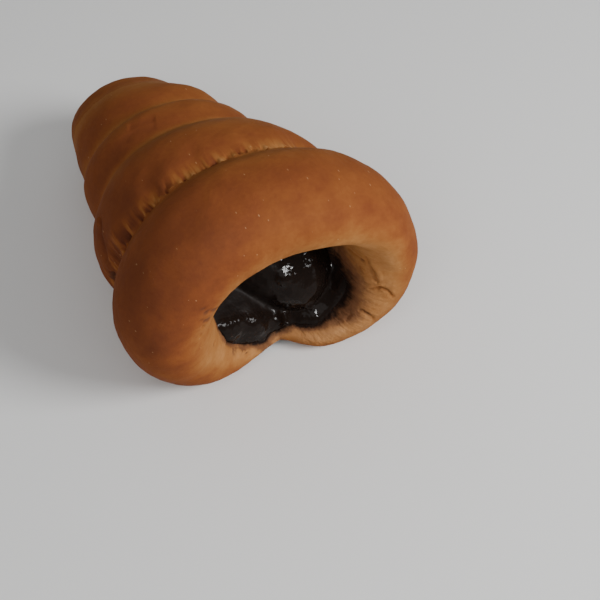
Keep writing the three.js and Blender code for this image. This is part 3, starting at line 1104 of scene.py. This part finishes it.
def bakedRelief(graph, given, sizes):
    # folds, cracks and the unevenness of the baked dough, pressed into the smooth bread
    turn, out, across, fine = stored(graph, "turn", "out", "across", "fine")
    isFine = fine.math("GREATER_THAN", sizes["leastFine"])
    eased = blurred(graph, position(graph), sizes["fineRounds"], "FLOAT_VECTOR")
    geometry = moved(graph, given.geometry, Selection=isFine, Position=eased)
    here = position(graph)
    facing = graph.add("GeometryNodeInputNormal")
    geometry = store(
        graph,
        geometry,
        toCream=distanceTo(graph, given.cream, "FACES") / mm,
        creaseNear=below(graph, here, facing, given.nearRounds),
        creaseWide=below(graph, here, facing, given.wideRounds),
    )
    creaseNear, creaseWide = stored(graph, "creaseNear", "creaseWide")
    swell = graph.sway(here, given.swellScale, 1.5) * given.swell
    dimple = graph.sway(here, given.dimpleScale, 2.0) * given.dimple
    pleat, pinch = pleats(graph, given, sizes, turn, out, across, creaseWide)
    pressed, smeared = foldMarks(graph, given, sizes, here)
    cut = creaseNear.ramp(*sizes["grooveBelow"]) * turn.ramp(*sizes["grooveTurn"])
    cut = cut * graph.noise(here, given.grooveScale, 1.0).ramp(*sizes["grooveBroken"])
    geometry = store(graph, geometry, smeared=smeared, pressed=pressed + pinch, cut=cut)

    pressed, cut = stored(graph, "pressed", "cut")
    lift = (swell + dimple + pleat - pressed) * mm
    depth = blurred(graph, cut, sizes["grooveRounds"]) * given.groove * mm
    sunk = graph.scaled(towardAxis(graph, given, here), depth)
    offset = graph.vector("ADD", graph.scaled(facing, lift), sunk)
    geometry = moved(graph, geometry, Offset=offset)
    x, y, z = graph.split(position(graph))
    return moved(graph, geometry, Position=graph.combine(x, y, z.math("MAXIMUM", 0.0)))


# folds and cracks laid one by one: half width, depth (below zero it is a ridge) and how much cream
# stain is smeared into it, in some cracks partly painted shadow, then the places it passes, which
# are pulled onto the skin
folds = {
    # the open right wall; the darkening of its cracks is partly cream stain, partly painted shadow
    "stainEdge": (0.4, 0.6, 0.45, [(24, -45, 32), (25, -49, 32), (26, -52, 32)]),
    "shortCrack": (0.35, 0.6, 0.3, [(25, -50, 29), (25, -52, 27)]),
    "rib": (1.3, -0.4, 0.0, [(26, -54, 34), (27, -56, 30), (28, -57, 27)]),
    # painted shadow: its darkening paints the shadow beside the rib
    "ribShade": (0.5, 0.5, 0.2, [(26, -52, 35), (26, -54, 31), (27, -56, 26)]),
    "wallCrack": (0.4, 0.9, 0.2, [(25, -55, 23), (28, -57, 24), (29, -59, 23), (30, -60, 20)]),
    "wallRidge": (0.9, -0.3, 0.0, [(24, -53, 26), (26, -56, 26), (28, -58, 26)]),
    "lowCrack": (0.4, 0.8, 0.4, [(21, -55, 16), (23, -57, 15), (24, -58, 12)]),
    "thinCrack": (0.3, 0.5, 0.4, [(19, -54, 14), (17, -54, 12)]),
    # left of the mouth, where cream was dragged out
    "upperDrag": (0.6, 0.4, 0.55, [(-19, -50, 44), (-22, -52, 47), (-24, -52, 48)]),
    "lowerDrag": (0.6, 0.4, 0.55, [(-20, -49, 41), (-24, -51, 44), (-26, -52, 46)]),
    "topDrag": (0.35, 0.4, 0.4, [(-23, -52, 50), (-25, -52, 50)]),
    "leftPit": (0.6, 0.9, 0.5, [(-24, -52, 42), (-25, -52, 41)]),
    "leftPitBelow": (0.5, 0.8, 0.5, [(-26, -52, 39), (-26, -52, 38)]),
    "rimPit": (0.6, 0.8, 0.6, [(-21, -47, 25), (-21, -47, 24)]),
    # along the lower rim
    "lipSmear": (1.5, 0.3, 0.55, [(-17, -43, 18), (-15, -44, 13), (-11, -44, 9)]),
    "drip": (0.6, 0.3, 0.9, [(-12, -45, 9), (-12, -46, 8)]),
    "notchSmear": (0.8, 0.2, 0.6, [(-8, -45, 8), (-5, -44, 7), (-3, -44, 7)]),
    "paleRim": (0.6, -0.5, 0.0, [(-18, -43, 23), (-18, -43, 20), (-17, -44, 17)]),
    # on the third turn
    "longFold": (2.6, 0.3, 0.0, [(-3, 14, 51), (-7, 15, 51), (-11, 17, 49)]),
    "shortFold": (1.9, 0.22, 0.0, [(-4, 11, 51), (-7, 13, 50), (-12, 14, 49), (-14, 12, 48)]),
    # where the fourth turn dives under the last, on the left
    "leftCrack": (1.1, 0.5, 0.0, [(-32, -4, 44), (-33, -7, 42), (-35, -11, 39), (-36, -14, 37)]),
    "leftKnob": (1.3, -0.6, 0.0, [(-32, -3, 43), (-33, -5, 42)]),
    # painted shadow: its darkening paints the slot's shadow dark
    "leftSlot": (1.4, 2.4, 0.9, [(-36, -17, 36), (-36, -19, 34)]),
}


def smoothPath(corners, spacing):
    # places along a smooth curve through the corners
    ends = [2 * corners[0] - corners[1], *corners, 2 * corners[-1] - corners[-2]]
    places = []
    for a, b, c, d in zip(ends, ends[1:], ends[2:], ends[3:]):
        count = max(2, int((c - b).length / spacing))
        for i in range(count):
            t = i / count
            bend = 2 * a - 5 * b + 4 * c - d + (3 * b - a - 3 * c + d) * t
            places.append(b + (c - a + bend * t) * (0.5 * t))
    return places + [corners[-1]]


def layFolds(bread, folds, spacing=0.3):
    # a cloud of points on the skin, each with the numbers of its fold
    places, numbers = [], {"width": [], "depth": [], "smear": []}
    for width, depth, smear, corners in folds.values():
        path = smoothPath([Vector(corner) * mm for corner in corners], spacing * mm)
        for i, place in enumerate(path):
            reach = i / (len(path) - 1)
            fade = min(1.0, 3 * math.sqrt(reach * (1 - reach)) + 0.1)  # thinner at both ends
            places.append(bread.closest_point_on_mesh(place)[1])
            numbers["width"].append(width * mm * rising(fade, 0.6))
            numbers["depth"].append(depth * fade)
            numbers["smear"].append(smear * fade)
    cloud = newPiece("folds", places, [])
    for label, values in numbers.items():
        cloud.data.attributes.new(label, "FLOAT", "POINT").data.foreach_set("value", values)
    return cloud


def remesh(piece, voxel, smoothing):
    modifier = piece.modifiers.new("skin", "REMESH")
    modifier.mode = "VOXEL"
    modifier.voxel_size = voxel * mm
    modifier.use_smooth_shade = True
    if smoothing:
        soft = piece.modifiers.new("soft", "SMOOTH")
        soft.factor = 0.5
        soft.iterations = smoothing
    bakeModifiers(piece)


def joinedMesh(pieces):
    points, faces = [], []
    for piece in pieces:
        start = len(points)
        points += [tuple(corner.co) for corner in piece.data.vertices]
        faces += [tuple(i + start for i in face.vertices) for face in piece.data.polygons]
    return points, faces


def carve(piece, tool):
    cut = piece.modifiers.new("hollow", "BOOLEAN")
    cut.operation = "DIFFERENCE"
    cut.solver = "MANIFOLD"
    cut.object = tool
    bakeModifiers(piece)


def makeBread(sizes, winding, creamShape, filling):
    roll, inner = windDough(winding)
    print("dough wound:", len(roll.data.vertices), "points")
    bread = newPiece("crustBread", *joinedMesh((roll, inner)))
    remesh(bread, sizes["voxel"], sizes["smoothing"])
    hollow = hollowBody(creamShape, winding)
    carve(bread, hollow)
    remesh(bread, sizes["voxel"], 0)

    lines = layFolds(bread, folds)
    near = {"lines": lines, "cream": filling, "material": crust}
    inputs = pick(sizes, "softUntil firmFrom softRounds firmRounds")
    inputs.update({key: sizes[key] * mm for key in ("lineReach", "creamReach")})
    growTree(bread, "settled creases", settledCreases, sizes, {**near, **inputs, "roll": roll})
    refine(bread, "fine")

    bpy.data.objects.remove(lines)
    lines = layFolds(bread, folds)
    near["lines"] = lines
    keys = "swell swellScale dimple dimpleScale groove grooveScale pleat pleatScale "
    inputs = pick(sizes, keys + "strand pinch nearRounds wideRounds axisRise")
    inputs["axisHeight"] = sizes["axisHeight"] * mm
    inputs["axisSide"] = winding["side"] * mm
    growTree(bread, "baked relief", bakedRelief, sizes, {**near, **inputs})
    for piece in (inner, hollow, roll, lines):
        bpy.data.objects.remove(piece)
    smoothShade(bread)
    return bread


def creamSkin(graph, given, sizes):
    # slow waves and small blisters
    here = position(graph)
    facing = graph.add("GeometryNodeInputNormal")
    wave = graph.sway(here, given.waveScale, 1.0) * given.wave
    inputs = {"Vector": here, "Scale": given.blisterScale}
    inputs["Smoothness"] = sizes["blisterSoftness"]
    blister = graph.add("ShaderNodeTexVoronoi", {"feature": "SMOOTH_F1"}, inputs, "Distance")
    scale, edge = sizes["blisterPatches"]
    patches = graph.noise(here, scale, 1.0).ramp(*edge)
    blister = (sizes["blisterHigh"] - blister) * given.blister * patches
    offset = graph.scaled(facing, (wave + blister) * mm)
    return moved(graph, given.geometry, Offset=offset)


def makeCream(sizes, winding):
    filling = creamBody(sizes, winding)
    remesh(filling, sizes["voxel"], sizes["smoothing"])
    inputs = pick(sizes, "wave waveScale blister blisterScale")
    growTree(filling, "cream skin", creamSkin, sizes, {**inputs, "material": cream})
    smoothShade(filling)
    return filling


def declare(piece, node):
    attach(piece, "root")
    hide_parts(node)
    print(node, "made:", len(piece.data.polygons), "faces")


filling = makeCream(creamSizes, windingSizes)
declare(filling, "filling")
declare(makeBread(breadSizes, windingSizes, creamSizes, filling), "bread")


studio = {
    "floorSize": 6.0,
    "floorColour": (0.86, 0.86, 0.85),
    "floorRoughness": 0.9,
    "world": 0.26,
    "aim": (0.0, -0.02, 0.03),
}
# azimuth and elevation in degrees, distance and size in metres, power in watts
lamps = {
    "key": (38.0, 34.0, 0.8, 0.3, 5.8),
    "fill": (-40.0, 52.0, 0.9, 0.7, 2.1),
    "glint": (5.0, 50.0, 0.8, 0.25, 15.0),
}


def addFloor(sizes):
    half = sizes["floorSize"] / 2
    corners = [(-half, -half, 0), (half, -half, 0), (half, half, 0), (-half, half, 0)]
    floor = newPiece("floor", corners, [(0, 1, 2, 3)])
    material, _, shader = newMaterial("floor")
    shader.inputs["Base Color"].default_value = (*sizes["floorColour"], 1.0)
    shader.inputs["Roughness"].default_value = sizes["floorRoughness"]
    floor.data.materials.append(material)


def addLamp(name, aim, azimuth, elevation, distance, size, power):
    data = bpy.data.lights.new(name, "AREA")
    data.shape = "DISK"
    data.size = size
    data.energy = power
    lamp = addObject(name, data)
    away = directionTo(math.radians(azimuth), math.radians(elevation))
    lamp.location = Vector(aim) + away * distance
    lamp.rotation_euler = away.to_track_quat("Z", "Y").to_euler()
    lamp.visible_diffuse = name != "glint"  # it only gives the wet cream its highlights


def addWorld(strength):
    world = bpy.data.worlds.new("studio")
    bpy.context.scene.world = world
    world.use_nodes = True
    background = world.node_tree.nodes["Background"]
    background.inputs["Color"].default_value = (1.0, 1.0, 1.0, 1.0)
    background.inputs["Strength"].default_value = strength


addFloor(studio)
addWorld(studio["world"])
for name, values in lamps.items():
    addLamp(name, studio["aim"], *values)
print("studio made")
